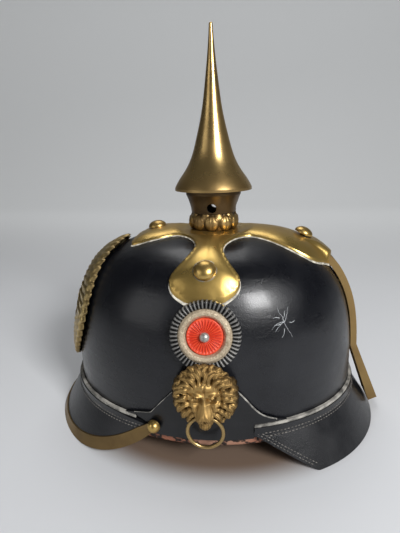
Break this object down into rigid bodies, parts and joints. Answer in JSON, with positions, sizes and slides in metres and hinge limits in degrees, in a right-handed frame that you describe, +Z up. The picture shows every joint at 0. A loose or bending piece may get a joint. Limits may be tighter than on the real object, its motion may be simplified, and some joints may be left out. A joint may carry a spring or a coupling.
{
  "type": "spiked helmet",
  "caption": "Spiked leather dress helmet: brass spike on a leaf-collared neck and cross base, back spine, lion masks with hanging rings, pleated cockades, embossed plate, trimmed visors.",
  "frame": {"origin": "on the table, under the spike's axis", "axes": "+Z up along the spike, -X towards the front visor, -Y towards the wearer's left side"},
  "size_m": [0.2592, 0.2064, 0.2814],
  "materials": {
    "black_leather": "polished, scratched",
    "pleated_leather": "satin, pleated",
    "band_leather": "worn, blotched",
    "brass": "aged",
    "dark_brass": "aged, dark",
    "lion_brass": "cast, dark in its recesses",
    "plate_brass": "stamped, dark in its recesses",
    "silvered_metal": "granular",
    "red_lacquer": "pleated, satin",
    "pewter": "dull",
    "cloth": "plain weave"
  },
  "bodies": {
    "helmet": {"skull_shell": "black_leather", "front_visor": "black_leather", "rear_visor": "black_leather", "front_welt": "black_leather", "rear_welt": "black_leather", "side_patch_left": "black_leather", "side_patch_right": "black_leather", "visor_trim": "brass", "trim_studs": "brass", "rear_spine": "brass", "spine_prongs": "brass", "spike_base": "brass", "base_studs": "brass", "base_nuts": "brass", "spike_neck": "dark_brass", "leaf_collar": "dark_brass", "cockade_ring_left": "pleated_leather", "cockade_ring_right": "pleated_leather", "cockade_silver_left": "silvered_metal", "cockade_silver_right": "silvered_metal", "cockade_centre_left": "red_lacquer", "cockade_centre_right": "red_lacquer", "cockade_pin_left": "pewter", "cockade_pin_right": "pewter", "cockade_nuts": "brass", "lion_head_left": "lion_brass", "lion_head_right": "lion_brass", "lion_nuts": "brass", "front_plate": "plate_brass", "plate_nuts": "brass", "sweatband": "band_leather", "lining": "cloth"},
    "spike_lift": {"spike_washer": "band_leather"},
    "spike": {"spike": "brass", "spike_screw": "brass"},
    "ring_left": {"lion_ring_left": "lion_brass"},
    "ring_right": {"lion_ring_right": "lion_brass"}
  },
  "joints": [
    {"name": "spike_lift", "type": "slide", "parent": "helmet", "child": "spike_lift", "axis": [0, 0, 1], "range_m": [0, 0.00601]},
    {"name": "spike_turn", "type": "hinge", "parent": "spike_lift", "child": "spike", "pos_m": [0, 0, 0.17], "axis": [0, 0, 1], "range_deg": [0, 1080]},
    {"name": "ring_left_swing", "type": "hinge", "parent": "helmet", "child": "ring_left", "pos_m": [0.0014, -0.09463, 0.04523], "axis": [-1, 0, 0], "range_deg": [-5, 90]},
    {"name": "ring_right_swing", "type": "hinge", "parent": "helmet", "child": "ring_right", "pos_m": [0.0014, 0.09463, 0.04523], "axis": [1, 0, 0], "range_deg": [-5, 90]}
  ],
  "couplings": [
    {"joint": "spike_lift", "follows": "spike_turn", "m_per_rad": 0.0003183}
  ]
}
